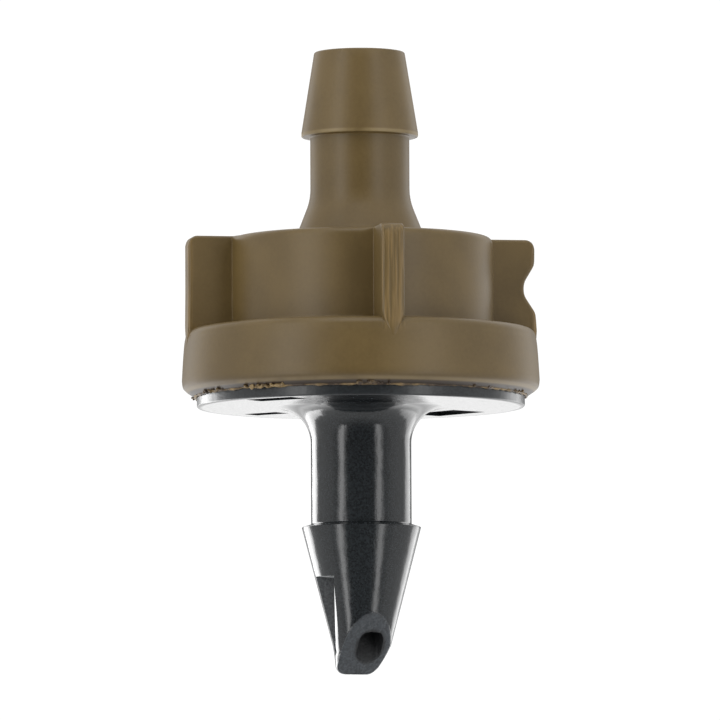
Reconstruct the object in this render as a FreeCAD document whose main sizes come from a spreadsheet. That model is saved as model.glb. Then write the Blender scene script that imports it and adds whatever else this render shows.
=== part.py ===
import FreeCAD, Part
import math
import os

import Sketcher

# Pressure-compensating drip emitter: a barbed module that feeds one plant from a supply pipe.
#
# outlet_cap    barb for the feed tube, drum, four grip wings and the skirt that holds the base
# diaphragm     loose silicone disc that throttles the metering groove in the cap's weir
# inlet_base    flange, shaft and self-piercing barb that goes through the pipe's wall
#
# The frame: the origin is on the axis at the flange's underside, where the module meets the pipe,
# +Z points along the axis to the outlet, and +X runs through the wing that has the finger notch.
# Lengths are in millimetres. Headings are in degrees, anticlockwise from +X.

DRIVING_SIZES = (
    ("flange_diameter", 15.12, "disc of the base"),
    ("flange_thickness", 2.0, "disc of the base"),
    ("flange_reveal", 0.52, "edge of the disc that shows below the skirt's lip"),
    ("flange_edge_round", 0.12, "underside rim of the disc"),
    ("seam_gap", 0.04, "between the disc's wall and the skirt, each side"),
    ("spigot_height", 1.9, "collar on the disc that centres the base in the drum"),
    ("spigot_wall", 0.9, "the same collar"),
    ("spigot_gap", 0.05, "between the collar and the drum's bore, each side"),
    ("inlet_pool_depth", 1.0, "hollow inside the collar"),
    ("seat_rise", 2.5, "inlet seat's top above the disc's top"),
    ("seat_wall", 0.5, "inlet seat's top land"),
    ("seat_flare", 0.3, "how much wider the seat is at its foot"),
    ("shaft_diameter", 4.63, "inlet shaft"),
    ("shaft_length", 5.4, "disc's underside to the barb's shoulder"),
    ("shaft_root_round", 1.66, "shaft into the disc"),
    ("inlet_barb_step", 0.43, "how far the barb stands out from the shaft"),
    ("inlet_barb_slope", 0.14, "drop of the barb's shoulder"),
    ("inlet_barb_land", 0.12, "straight edge of the barb"),
    ("inlet_cone_length", 6.64, "land to the tip"),
    ("inlet_tip_diameter", 2.0, "flat end of the cone before it is rounded"),
    ("inlet_tip_round", 0.45, "end of the cone"),
    ("inlet_bore", 2.4, "passage in the shaft"),
    ("inlet_bore_depth", 8.2, "disc's underside to the passage's floor"),
    ("port_diameter", 1.2, "narrow passage from the bore to the cut face"),
    ("port_offset", 0.58, "narrow passage off the axis"),
    ("port_heading", -52.0, "which way it is off the axis"),
    ("cut_depth", 9.7, "disc's underside to the top of the oblique cut"),
    ("cut_slope", 1.386, "drop of the cut for each millimetre inwards"),
    ("cut_heading", -81.0, "way that the cut faces"),
    ("step_depth", 7.85, "disc's underside to the ledge over the cored-away side"),
    ("step_wall_offset", 1.28, "axis to the cored-away side's wall, along X"),
    ("step_floor_offset", 0.1, "axis to the cored-away side's floor, along Y"),
    ("skirt_wall", 0.65, "skirt round the disc, at its widest"),
    ("skirt_roof", 1.58, "disc's top to the skirt's shoulder"),
    ("skirt_bulge_height", 0.7, "lip to the skirt's widest line"),
    ("skirt_draft", 0.17, "how much narrower the skirt is at its shoulder"),
    ("lip_draft", 0.06, "how much narrower the skirt is at its lip"),
    ("lip_round", 0.42, "outer rim of the lip"),
    ("shoulder_round", 0.4, "skirt's shoulder"),
    ("drum_diameter", 12.22, "drum over the diaphragm's chamber"),
    ("drum_wall", 0.96, "the same drum"),
    ("drum_edge_round", 0.3, "drum's top rim"),
    ("drum_root_round", 0.2, "drum into the skirt's shoulder"),
    ("roof_thickness", 1.3, "drum's roof"),
    ("wing_count", 4.0, "grip wings"),
    ("wing_thickness", 1.05, "each grip wing"),
    ("wing_setback", 0.1, "wings' outer edge inside the skirt's widest line"),
    ("wing_foot_cover", 0.3, "plastic left between the disc and a wing's foot"),
    ("wing_corner_round", 0.4, "top outer corner of a wing"),
    ("notch_mouth", 2.2, "finger notch at the wing's edge"),
    ("notch_floor", 0.6, "straight part of the notch's floor before it is rounded"),
    ("notch_depth", 0.53, "finger notch"),
    ("notch_drop", 2.28, "drum's top to the notch's middle"),
    ("notch_round", 0.4, "inner corners of the notch"),
    ("weir_height", 0.62, "ring round the outlet, below the roof"),
    ("weir_wall", 0.7, "the same ring"),
    ("metering_width", 0.5, "groove across the ring that sets the flow"),
    ("metering_depth", 0.3, "the same groove"),
    ("guide_count", 6.0, "ribs that keep the diaphragm central"),
    ("guide_thickness", 0.8, "each rib"),
    ("guide_reach", 0.75, "rib from the drum's bore inwards"),
    ("guide_stand", 0.2, "rib's foot above the collar"),
    ("neck_diameter", 4.58, "outlet neck"),
    ("neck_length", 4.7, "drum's top to the outlet barb"),
    ("flare_width", 0.71, "how much the neck's foot spreads, each side"),
    ("flare_height", 1.8, "height of the spread"),
    ("flare_round", 2.4, "spread into the neck"),
    ("outlet_barb_step", 0.405, "how far the barb stands out from the neck"),
    ("outlet_barb_land", 0.3, "straight edge of the barb"),
    ("outlet_cone_length", 3.64, "land to the outlet's end"),
    ("outlet_end_wall", 0.875, "wall at the outlet's end"),
    ("outlet_end_round", 0.2, "outer rim of the outlet's end"),
    ("outlet_bore", 2.4, "passage in the neck"),
    ("diaphragm_thickness", 1.0, "silicone disc"),
    ("diaphragm_gap", 0.1, "between the disc and the ribs, each side"),
    ("diaphragm_edge_round", 0.15, "silicone disc"),
    ("diaphragm_lift", 0.3, "its travel from the inlet seat to the weir"),
    ("rest_gap", 0.05, "left between the disc and what it closes on"),
)
SHEET = "Sizes"
PROBE = 2.0  # how far a cutting outline runs past the plastic
TOUCH = 0.15  # how far a rib or wing runs into the wall that it grows from


class Size:
    """A length, angle or count: its number, and the formula on the sheet's cells that gives it."""

    def __init__(self, number, formula):
        self.number = float(number)
        self.formula = formula

    def combined(self, sign, other, number):
        other_formula = other.formula if isinstance(other, Size) else repr(float(other))
        return Size(number, f"({self.formula} {sign} {other_formula})")

    def __add__(self, other):
        return self.combined("+", other, self.number + number_of(other))

    def __sub__(self, other):
        return self.combined("-", other, self.number - number_of(other))

    def __mul__(self, other):
        return self.combined("*", other, self.number * number_of(other))

    def __truediv__(self, other):
        return self.combined("/", other, self.number / number_of(other))

    def __neg__(self):
        return Size(-self.number, f"(-1 * {self.formula})")


def number_of(value):
    """The number of a Size or of a plain number."""
    return value.number if isinstance(value, Size) else float(value)


def cosine(heading):
    """Cosine of a heading."""
    return Size(math.cos(math.radians(heading.number)), f"cos({heading.formula})")


def sine(heading):
    """Sine of a heading."""
    return Size(math.sin(math.radians(heading.number)), f"sin({heading.formula})")


def make_sheet(doc):
    """The spreadsheet of driving dimensions: name, value, what it sets."""
    sheet = doc.addObject("Spreadsheet::Sheet", SHEET)
    for row, (alias, value, note) in enumerate(DRIVING_SIZES, start=1):
        sheet.set(f"A{row}", alias)
        sheet.set(f"B{row}", str(value))
        sheet.set(f"C{row}", note)
        sheet.setAlias(f"B{row}", alias)
    doc.recompute()
    return sheet


class Layout:
    """The cells by name, and the radii and heights that several pieces share."""

    def __init__(self, sheet):
        for alias, _, _ in DRIVING_SIZES:
            setattr(self, alias, Size(sheet.get(alias), f"{SHEET}.{alias}"))
        self.set_radii()
        self.set_heights()

    def set_radii(self):
        self.flange_radius = self.flange_diameter / 2
        self.seam_radius = self.flange_radius + self.seam_gap
        self.skirt_radius = self.seam_radius + self.skirt_wall
        self.shoulder_radius = self.skirt_radius - self.skirt_draft
        self.lip_radius = self.skirt_radius - self.lip_draft
        self.wing_radius = self.skirt_radius - self.wing_setback
        self.drum_radius = self.drum_diameter / 2
        self.chamber_radius = self.drum_radius - self.drum_wall
        self.spigot_radius = self.chamber_radius - self.spigot_gap
        self.pool_radius = self.spigot_radius - self.spigot_wall
        self.guide_radius = self.chamber_radius - self.guide_reach
        self.diaphragm_radius = self.guide_radius - self.diaphragm_gap
        self.inlet_bore_radius = self.inlet_bore / 2
        self.seat_radius = self.inlet_bore_radius + self.seat_wall
        self.shaft_radius = self.shaft_diameter / 2
        self.inlet_barb_radius = self.shaft_radius + self.inlet_barb_step
        self.inlet_tip_radius = self.inlet_tip_diameter / 2
        self.outlet_bore_radius = self.outlet_bore / 2
        self.weir_radius = self.outlet_bore_radius + self.weir_wall
        self.neck_radius = self.neck_diameter / 2
        self.flare_radius = self.neck_radius + self.flare_width
        self.outlet_barb_radius = self.neck_radius + self.outlet_barb_step
        self.outlet_end_radius = self.outlet_bore_radius + self.outlet_end_wall

    def set_heights(self):
        self.lip_z = self.flange_reveal
        self.bulge_z = self.lip_z + self.skirt_bulge_height
        self.flange_top_z = self.flange_thickness
        self.shoulder_z = self.flange_top_z + self.skirt_roof
        self.spigot_top_z = self.flange_top_z + self.spigot_height
        self.pool_floor_z = self.spigot_top_z - self.inlet_pool_depth
        self.seat_z = self.flange_top_z + self.seat_rise
        self.diaphragm_z = self.seat_z + self.rest_gap
        self.weir_z = self.diaphragm_z + self.diaphragm_thickness + self.diaphragm_lift + self.rest_gap
        self.ceiling_z = self.weir_z + self.weir_height
        self.drum_top_z = self.ceiling_z + self.roof_thickness
        self.flare_top_z = self.drum_top_z + self.flare_height
        self.outlet_barb_z = self.drum_top_z + self.neck_length
        self.outlet_cone_z = self.outlet_barb_z + self.outlet_barb_land
        self.outlet_end_z = self.outlet_cone_z + self.outlet_cone_length
        self.shaft_foot_z = -self.shaft_length
        self.inlet_barb_z = self.shaft_foot_z - self.inlet_barb_slope
        self.inlet_cone_z = self.inlet_barb_z - self.inlet_barb_land
        self.inlet_tip_z = self.inlet_cone_z - self.inlet_cone_length

    def inlet_cone_radius(self, depth):
        """Radius of the inlet cone at a depth below the disc's underside."""
        taper = (self.inlet_barb_radius - self.inlet_tip_radius) / self.inlet_cone_length
        return self.inlet_barb_radius - (depth + self.inlet_cone_z) * taper


def new_body(doc, label):
    """A body for one moulded piece, placed at the frame's origin."""
    body = doc.addObject("PartDesign::Body", label)
    body.Label = label
    body.Placement = FreeCAD.Placement()
    return body


def origin_feature(body, role):
    """The plane or axis of the body's own origin that has this role."""
    return next(feature for feature in body.Origin.OriginFeatures if feature.Role == role)


def attached_sketch(body, name, role):
    """An empty sketch on one of the body's origin planes."""
    sketch = body.newObject("Sketcher::SketchObject", name)
    sketch.AttachmentSupport = [(origin_feature(body, role), "")]
    sketch.MapMode = "FlatFace"
    return sketch


def raise_sketch(sketch, height):
    """Moves a flat sketch along the axis to a height."""
    offset = FreeCAD.Vector(0, 0, height.number)
    sketch.AttachmentOffset = FreeCAD.Placement(offset, FreeCAD.Rotation())
    sketch.setExpression("AttachmentOffset.Base.z", height.formula)


def hold_coordinate(sketch, kind, axis, geometry, vertex, size):
    """Ties one coordinate of a sketch point to a Size."""
    if size.number == 0.0:
        sketch.addConstraint(Sketcher.Constraint("PointOnObject", geometry, vertex, axis))
        return
    if size.number > 0.0:
        ends = (-1, 1, geometry, vertex)
        length = size
    else:
        ends = (geometry, vertex, -1, 1)
        length = -size
    index = sketch.addConstraint(Sketcher.Constraint(kind, *ends, length.number))
    sketch.setExpression(f"Constraints[{index}]", length.formula)


def draw_outline(sketch, points):
    """A closed outline of straight lines, with every corner tied to its pair of Sizes."""
    corners = [FreeCAD.Vector(across.number, up.number, 0) for across, up in points]
    lines = []
    for start, end in zip(corners, corners[1:] + corners[:1]):
        lines.append(sketch.addGeometry(Part.LineSegment(start, end), False))
    for line, following in zip(lines, lines[1:] + lines[:1]):
        sketch.addConstraint(Sketcher.Constraint("Coincident", line, 2, following, 1))
    for line, (across, up) in zip(lines, points):
        hold_coordinate(sketch, "DistanceX", -2, line, 1, across)
        hold_coordinate(sketch, "DistanceY", -1, line, 1, up)


def draw_circle(sketch, across, up, diameter):
    """One circle, with its centre and diameter tied to Sizes."""
    centre = FreeCAD.Vector(across.number, up.number, 0)
    circle = Part.Circle(centre, FreeCAD.Vector(0, 0, 1), diameter.number / 2)
    geometry = sketch.addGeometry(circle, False)
    hold_coordinate(sketch, "DistanceX", -2, geometry, 3, across)
    hold_coordinate(sketch, "DistanceY", -1, geometry, 3, up)
    index = sketch.addConstraint(Sketcher.Constraint("Diameter", geometry, diameter.number))
    sketch.setExpression(f"Constraints[{index}]", diameter.formula)


def turned_solid(body, name, points):
    """Revolves an outline of (radius, height) corners about the axis."""
    sketch = attached_sketch(body, f"{name}_outline", "XZ_Plane")
    draw_outline(sketch, points)
    turn = body.newObject("PartDesign::Revolution", name)
    turn.Profile = sketch
    turn.ReferenceAxis = (sketch, ["V_Axis"])
    turn.Angle = 360.0
    return settled(turn)


def radial_feature(body, kind, name, points, width, heading=None):
    """Pads or pockets an upright outline of (radius, height) corners, centred on a heading."""
    sketch = attached_sketch(body, f"{name}_outline", "XZ_Plane")
    if heading is not None:
        sketch.AttachmentOffset = FreeCAD.Placement(
            FreeCAD.Vector(), FreeCAD.Rotation(FreeCAD.Vector(0, 1, 0), heading.number)
        )
        sketch.setExpression("AttachmentOffset.Rotation.Angle", heading.formula)
    draw_outline(sketch, points)
    feature = body.newObject(f"PartDesign::{kind}", name)
    feature.Profile = sketch
    feature.SideType = "Symmetric"
    feature.Length = width.number
    feature.setExpression("Length", width.formula)
    return settled(feature)


def repeated_round_axis(body, name, feature, count):
    """Repeats a feature evenly round the axis."""
    pattern = body.newObject("PartDesign::PolarPattern", name)
    pattern.Originals = [feature]
    pattern.Axis = (origin_feature(body, "Z_Axis"), [""])
    pattern.Angle = 360.0
    pattern.Occurrences = int(count.number)
    pattern.setExpression("Occurrences", count.formula)
    body.Tip = pattern
    return settled(pattern)


def rounded(body, name, base, edges, radius):
    """Rounds the named edges of a feature."""
    fillet = body.newObject("PartDesign::Fillet", name)
    fillet.Base = (base, edges)
    fillet.Radius = radius.number
    fillet.setExpression("Radius", radius.formula)
    return settled(fillet)


def settled(feature):
    """Recomputes the document, and stops if the feature has no valid shape."""
    feature.Document.recompute()
    if feature.Shape.isNull() or not feature.Shape.isValid():
        raise RuntimeError(f"{feature.Name} has no valid shape")
    return feature


def cut_checked(feature, before):
    """Stops if a pocket left the volume as it was."""
    if feature.Shape.Volume > before.Shape.Volume - 1e-6:
        raise RuntimeError(f"{feature.Name} cuts nothing")
    return feature


def ring_edges(feature, radius, height):
    """Names of the whole circles about the axis at a radius and a height."""
    wanted = FreeCAD.Vector(0, 0, height.number)
    names = []
    for index, edge in enumerate(feature.Shape.Edges, start=1):
        if not isinstance(edge.Curve, Part.Circle):
            continue
        same_place = edge.Curve.Center.distanceToPoint(wanted) < 1e-4
        if same_place and abs(edge.Curve.Radius - radius.number) < 1e-4:
            names.append(f"Edge{index}")
    if not names:
        raise RuntimeError(f"no rim of radius {radius.number} at {height.number}")
    return names


def straight_edges(feature, wanted):
    """Names of the straight edges whose middle point passes a test."""
    names = []
    for index, edge in enumerate(feature.Shape.Edges, start=1):
        if not isinstance(edge.Curve, Part.Line):
            continue
        middle = edge.valueAt((edge.FirstParameter + edge.LastParameter) / 2)
        direction = edge.tangentAt(edge.FirstParameter)
        if wanted(middle, direction):
            names.append(f"Edge{index}")
    if not names:
        raise RuntimeError(f"{feature.Name} has no such straight edge")
    return names


def add_wings(body, at):
    """Four grip wings, flush with the drum's top, that run down into the skirt."""
    foot_z = at.flange_top_z + at.wing_foot_cover
    inner = at.drum_radius - at.drum_edge_round - TOUCH
    outline = (
        (inner, foot_z),
        (at.wing_radius, foot_z),
        (at.wing_radius, at.drum_top_z),
        (inner, at.drum_top_z),
    )
    wing = radial_feature(body, "Pad", "wing", outline, at.wing_thickness)
    wings = repeated_round_axis(body, "wings", wing, at.wing_count)
    reach = at.wing_radius.number
    top = at.drum_top_z.number

    def is_top_corner(middle, direction):
        far_out = abs(math.hypot(middle.x, middle.y) - reach) < 1e-3
        return far_out and abs(middle.z - top) < 1e-3 and abs(direction.z) < 1e-6

    corners = straight_edges(wings, is_top_corner)
    return rounded(body, "wing_corners", wings, corners, at.wing_corner_round)


def add_notch(body, at, base):
    """The finger notch in the edge of the wing on +X."""
    middle_z = at.drum_top_z - at.notch_drop
    floor_radius = at.wing_radius - at.notch_depth
    half_floor = at.notch_floor / 2
    half_mouth = at.notch_mouth / 2
    half_open = half_mouth + (half_mouth - half_floor) / at.notch_depth * PROBE
    open_radius = at.wing_radius + PROBE
    outline = (
        (floor_radius, middle_z - half_floor),
        (open_radius, middle_z - half_open),
        (open_radius, middle_z + half_open),
        (floor_radius, middle_z + half_floor),
    )
    notch = radial_feature(body, "Pocket", "notch", outline, at.wing_thickness + PROBE)
    cut_checked(notch, base)
    floor = floor_radius.number

    def is_inner_corner(middle, direction):
        return abs(middle.x - floor) < 1e-3 and abs(abs(direction.y) - 1) < 1e-6

    corners = straight_edges(notch, is_inner_corner)
    return rounded(body, "notch_corners", notch, corners, at.notch_round)


def add_guides(body, at):
    """Ribs inside the drum that keep the diaphragm on the axis."""
    foot_z = at.spigot_top_z + at.guide_stand
    outline = (
        (at.guide_radius, foot_z),
        (at.chamber_radius + TOUCH, foot_z),
        (at.chamber_radius + TOUCH, at.ceiling_z + TOUCH),
        (at.guide_radius, at.ceiling_z + TOUCH),
    )
    guide = radial_feature(body, "Pad", "guide", outline, at.guide_thickness)
    return repeated_round_axis(body, "guides", guide, at.guide_count)


def add_metering_groove(body, at, base):
    """The groove across the weir that sets the flow when the diaphragm lies on it."""
    inner = at.outlet_bore_radius - TOUCH
    outer = at.weir_radius + TOUCH
    top_z = at.weir_z + at.metering_depth
    outline = (
        (inner, at.weir_z - TOUCH),
        (outer, at.weir_z - TOUCH),
        (outer, top_z),
        (inner, top_z),
    )
    groove = radial_feature(body, "Pocket", "metering_groove", outline, at.metering_width)
    return cut_checked(groove, base)


def make_outlet_cap(doc, at):
    """Outlet barb, neck, drum, wings and skirt, moulded in one with the weir and the ribs."""
    body = new_body(doc, "outlet_cap")
    shell = turned_solid(
        body,
        "cap_shell",
        (
            (at.outlet_bore_radius, at.outlet_end_z),
            (at.outlet_bore_radius, at.weir_z),
            (at.weir_radius, at.weir_z),
            (at.weir_radius, at.ceiling_z),
            (at.chamber_radius, at.ceiling_z),
            (at.chamber_radius, at.flange_top_z),
            (at.seam_radius, at.flange_top_z),
            (at.seam_radius, at.lip_z),
            (at.lip_radius, at.lip_z),
            (at.skirt_radius, at.bulge_z),
            (at.shoulder_radius, at.shoulder_z),
            (at.drum_radius, at.shoulder_z),
            (at.drum_radius, at.drum_top_z),
            (at.flare_radius, at.drum_top_z),
            (at.neck_radius, at.flare_top_z),
            (at.neck_radius, at.outlet_barb_z),
            (at.outlet_barb_radius, at.outlet_barb_z),
            (at.outlet_barb_radius, at.outlet_cone_z),
            (at.outlet_end_radius, at.outlet_end_z),
        ),
    )
    for name, radius, height, size in (
        ("flare_blend", at.neck_radius, at.flare_top_z, at.flare_round),
        ("shoulder_rim", at.shoulder_radius, at.shoulder_z, at.shoulder_round),
        ("drum_root", at.drum_radius, at.shoulder_z, at.drum_root_round),
        ("drum_rim", at.drum_radius, at.drum_top_z, at.drum_edge_round),
        ("lip_rim", at.lip_radius, at.lip_z, at.lip_round),
        ("outlet_rim", at.outlet_end_radius, at.outlet_end_z, at.outlet_end_round),
    ):
        shell = rounded(body, name, shell, ring_edges(shell, radius, height), size)
    wings = add_wings(body, at)
    notched = add_notch(body, at, wings)
    guided = add_guides(body, at)
    finished = add_metering_groove(body, at, guided)
    body.Tip = finished
    return body


def add_port(body, at, base):
    """The narrow passage, off the axis, that opens through the oblique cut."""
    sketch = attached_sketch(body, "port_outline", "XY_Plane")
    start_z = -at.inlet_bore_depth + TOUCH
    raise_sketch(sketch, start_z)
    across = at.port_offset * cosine(at.port_heading)
    up = at.port_offset * sine(at.port_heading)
    draw_circle(sketch, across, up, at.port_diameter)
    port = body.newObject("PartDesign::Pocket", "port")
    port.Profile = sketch
    length = start_z - at.inlet_tip_z + PROBE
    port.Length = length.number
    port.setExpression("Length", length.formula)
    return cut_checked(settled(port), base)


def add_oblique_cut(body, at, base):
    """The slanting face that makes the tip sharp enough to pierce the pipe."""
    top_z = -at.cut_depth
    top_radius = at.inlet_cone_radius(at.cut_depth)
    bottom_z = at.inlet_tip_z - PROBE
    bottom_radius = top_radius - (top_z - bottom_z) / at.cut_slope
    outline = (
        (bottom_radius, bottom_z),
        (top_radius + PROBE, bottom_z),
        (top_radius + PROBE, top_z + at.cut_slope * PROBE),
    )
    width = at.inlet_barb_radius * 2 + PROBE
    cut = radial_feature(body, "Pocket", "oblique_cut", outline, width, at.cut_heading)
    return cut_checked(cut, base)


def add_coring_step(body, at, base):
    """The quarter of the cone that is cored away on one side, which leaves a ledge and a cutting edge."""
    sketch = attached_sketch(body, "coring_step_outline", "XY_Plane")
    ledge_z = -at.step_depth
    raise_sketch(sketch, ledge_z)
    wall = -at.step_wall_offset
    floor = -at.step_floor_offset
    outside = -at.inlet_barb_radius - PROBE
    draw_outline(sketch, ((wall, floor), (wall, outside), (outside, outside), (outside, floor)))
    step = body.newObject("PartDesign::Pocket", "coring_step")
    step.Profile = sketch
    length = ledge_z - at.inlet_tip_z + PROBE
    step.Length = length.number
    step.setExpression("Length", length.formula)
    return cut_checked(settled(step), base)


def make_inlet_base(doc, at):
    """Disc, collar and inlet seat above, shaft and piercing barb below, moulded in one."""
    body = new_body(doc, "inlet_base")
    axis = Size(0, "0")
    under = Size(0, "0")
    shell = turned_solid(
        body,
        "base_shell",
        (
            (at.inlet_bore_radius, at.seat_z),
            (at.seat_radius, at.seat_z),
            (at.seat_radius + at.seat_flare, at.pool_floor_z),
            (at.pool_radius, at.pool_floor_z),
            (at.pool_radius, at.spigot_top_z),
            (at.spigot_radius, at.spigot_top_z),
            (at.spigot_radius, at.flange_top_z),
            (at.flange_radius, at.flange_top_z),
            (at.flange_radius, under),
            (at.shaft_radius, under),
            (at.shaft_radius, at.shaft_foot_z),
            (at.inlet_barb_radius, at.inlet_barb_z),
            (at.inlet_barb_radius, at.inlet_cone_z),
            (at.inlet_tip_radius, at.inlet_tip_z),
            (axis, at.inlet_tip_z),
            (axis, -at.inlet_bore_depth),
            (at.inlet_bore_radius, -at.inlet_bore_depth),
        ),
    )
    for name, radius, height, size in (
        ("shaft_root", at.shaft_radius, under, at.shaft_root_round),
        ("flange_rim", at.flange_radius, under, at.flange_edge_round),
        ("tip_rim", at.inlet_tip_radius, at.inlet_tip_z, at.inlet_tip_round),
    ):
        shell = rounded(body, name, shell, ring_edges(shell, radius, height), size)
    stepped = add_coring_step(body, at, shell)
    cut = add_oblique_cut(body, at, stepped)
    body.Tip = add_port(body, at, cut)
    return body


def make_diaphragm(doc, at):
    """The loose silicone disc, drawn just clear of the inlet seat."""
    body = new_body(doc, "diaphragm")
    sketch = attached_sketch(body, "diaphragm_outline", "XY_Plane")
    raise_sketch(sketch, at.diaphragm_z)
    centre = Size(0, "0")
    draw_circle(sketch, centre, centre, at.diaphragm_radius * 2)
    disc = body.newObject("PartDesign::Pad", "disc")
    disc.Profile = sketch
    disc.Length = at.diaphragm_thickness.number
    disc.setExpression("Length", at.diaphragm_thickness.formula)
    settled(disc)
    top_z = at.diaphragm_z + at.diaphragm_thickness
    rims = ring_edges(disc, at.diaphragm_radius, at.diaphragm_z)
    rims += ring_edges(disc, at.diaphragm_radius, top_z)
    body.Tip = rounded(body, "disc_rims", disc, rims, at.diaphragm_edge_round)
    return body


def check_document(doc, bodies):
    """Stops before anything is written if an object failed or a piece isn't one sound solid."""
    doc.recompute()
    for item in doc.Objects:
        if "Invalid" in item.State or "Error" in item.State:
            raise RuntimeError(f"{item.Name} is in state {item.State}")
    for body in bodies:
        shape = body.Shape
        if shape.isNull() or not shape.isValid() or len(shape.Solids) != 1:
            raise RuntimeError(f"{body.Label} isn't one valid solid")


def export_pieces(bodies):
    """Writes each piece to its own file, named for its label."""
    os.makedirs("parts", exist_ok=True)
    for body in bodies:
        body.Shape.exportStep(f"parts/{body.Label}.step")
        box = body.Shape.BoundBox
        print(f"{body.Label}: {body.Shape.Volume:.2f} mm3, z {box.ZMin:.2f} to {box.ZMax:.2f}")


def main():
    doc = FreeCAD.newDocument("drip_emitter")
    at = Layout(make_sheet(doc))
    bodies = (make_outlet_cap(doc, at), make_diaphragm(doc, at), make_inlet_base(doc, at))
    check_document(doc, bodies)
    export_pieces(bodies)


main()
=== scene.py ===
import math

import bmesh
import bpy
from mathutils import Matrix, Vector, noise


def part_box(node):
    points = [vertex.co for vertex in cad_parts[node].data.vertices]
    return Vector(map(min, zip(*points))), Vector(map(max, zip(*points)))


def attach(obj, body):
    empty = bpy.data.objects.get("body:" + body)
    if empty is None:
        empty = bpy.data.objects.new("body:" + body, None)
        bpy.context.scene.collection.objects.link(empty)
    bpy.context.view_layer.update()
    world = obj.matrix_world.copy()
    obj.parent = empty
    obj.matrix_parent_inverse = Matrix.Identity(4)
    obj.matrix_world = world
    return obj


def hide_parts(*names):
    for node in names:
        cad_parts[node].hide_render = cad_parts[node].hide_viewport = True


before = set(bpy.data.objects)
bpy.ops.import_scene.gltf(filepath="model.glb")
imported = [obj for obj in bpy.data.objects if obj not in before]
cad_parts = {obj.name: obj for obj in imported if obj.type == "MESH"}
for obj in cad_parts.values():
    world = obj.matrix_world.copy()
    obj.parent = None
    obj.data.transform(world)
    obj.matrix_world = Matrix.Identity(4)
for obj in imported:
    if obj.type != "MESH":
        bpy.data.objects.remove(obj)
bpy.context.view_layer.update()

# Drip emitter: a tan acetal cap welded to a glossy charcoal acetal base, with a silicone disc inside.
# Lengths are worked out in millimetres in the frame's axes, and scaled to metres as a mesh is made.
MM = 0.001


def box_mm(node):
    """Lowest and highest corner of a CAD node, in millimetres."""
    low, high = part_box(node)
    return low / MM, high / MM


CAP_LOW, CAP_HIGH = box_mm("outlet_cap")
BASE_LOW, BASE_HIGH = box_mm("inlet_base")
DISC_LOW, DISC_HIGH = box_mm("diaphragm")

# Radii and heights that come from the frame.
SKIRT_RADIUS = CAP_HIGH.x
LIP_Z = CAP_LOW.z
OUTLET_END_Z = CAP_HIGH.z
FLANGE_RADIUS = BASE_HIGH.x
SEAT_Z = BASE_HIGH.z
INLET_TIP_Z = BASE_LOW.z
DISC_RADIUS = DISC_HIGH.x

# Cap.
BULGE_Z = LIP_Z + 0.7
FLANGE_TOP_Z = 2.0
SHOULDER_Z = 3.58
SHOULDER_ROUND = 0.405
SHOULDER_RADIUS = SKIRT_RADIUS - 0.165
SHOULDER_FLAT = SHOULDER_RADIUS - SHOULDER_ROUND
WALL_TOP_Z = SHOULDER_Z - SHOULDER_ROUND
WALL_BULGE_POWER = 0.6
DRUM_RADIUS = 6.11
DRUM_TOP_Z = DISC_HIGH.z + 2.27
DRUM_RIM = 0.3
ROOT_BLEND = 0.2
WING_RADIUS = SKIRT_RADIUS - 0.11
WING_HALF = 0.525
WING_UPRIGHT_ROUND = 0.16
WING_SIDE_ROUND = 0.13
WING_CORNER_ROUND = 0.46
WING_ROOT_ROUND = 0.04
WING_ROOT_X = DRUM_RADIUS + 0.2
ROOT_FADE = 0.5
BLEND_FADE_RADIUS = 7.3
BLEND_FADE = 0.6
PLAN_SOFTNESS = 0.1
BLEND_LEFT = 0.08
WING_POINT_Z = SHOULDER_Z + 0.05
WING_POINT_LENGTH = 0.85
WING_NARROWING = 0.85
WING_FOOT_FLARE = 0.02
NOTCHED_FOOT_FLARE = 0.1
WING_FOOT_Z = SHOULDER_Z + 1.6
NOTCH_Z = DRUM_TOP_Z - 2.28
NOTCH_HALF_MOUTH = 1.1
NOTCH_HALF_FLOOR = 0.28
NOTCH_DEPTH = 0.53
NOTCH_SOFTNESS = 0.16
SEAM_RADIUS = FLANGE_RADIUS + 0.04
CHAMBER_RADIUS = 5.15
CEILING_Z = DISC_HIGH.z + 0.97
WEIR_Z = DISC_HIGH.z + 0.35
WEIR_RADIUS = 1.9
BORE_RADIUS = 1.2
NECK_RADIUS = 2.29
FLARE_RADIUS = 3.0
FLARE_LAND = 0.25
FLARE_TOP_Z = DRUM_TOP_Z + 1.8
OUTLET_BARB_Z = OUTLET_END_Z - 3.94
OUTLET_BARB_RADIUS = 2.695
OUTLET_BARB_LAND = 0.2
OUTLET_END_RADIUS = 2.09

# Base.
SHAFT_RADIUS = 2.315
SHAFT_ROOT_ROUND = 1.66
SHAFT_FOOT_Z = -5.4
INLET_BARB_RADIUS = 2.745
INLET_BARB_Z = -5.54
INLET_TIP_RADIUS = 1.0
STEP_Z = -7.85
STEP_WALL_X = -1.25
STEP_FLOOR_Y = -0.1
STEP_KNEE_TOP = (-1.573, -1.51)
STEP_KNEE_END = (-1.252, -0.13)
STEP_KNEE_END_Z = -11.3
STEP_FLARE = 0.247
LEDGE_RISES = (-0.05, -0.02, 0.06, 0.16, 0.16)
CUT_TOP_Z = -9.7
CUT_SLOPE = 1.386
CUT_TEAR = 0.035
CUT_TEARS_PER_MM = 5.0
CUT_LIMIT = 0.92
CUT_REACH_UP = 0.4
CUT_EDGE_ROUND = 0.07
TIP_LEAN = 0.12
TIP_LEAN_Z = -11.0
TIP_BITE = 0.24
TIP_SPREAD = 0.08
CUT_HEADING = math.radians(-81.0)
PORT_RADIUS = 0.6
PORT_OUT = 0.68
PORT_ASIDE = 0.14
PORT_TILT = math.radians(13.0)
PORT_SQUARENESS = 3.2
PORT_COLUMNS = 64
PORT_OVERRUN = 1.2
PORT_OVERLAP = 0.3
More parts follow.
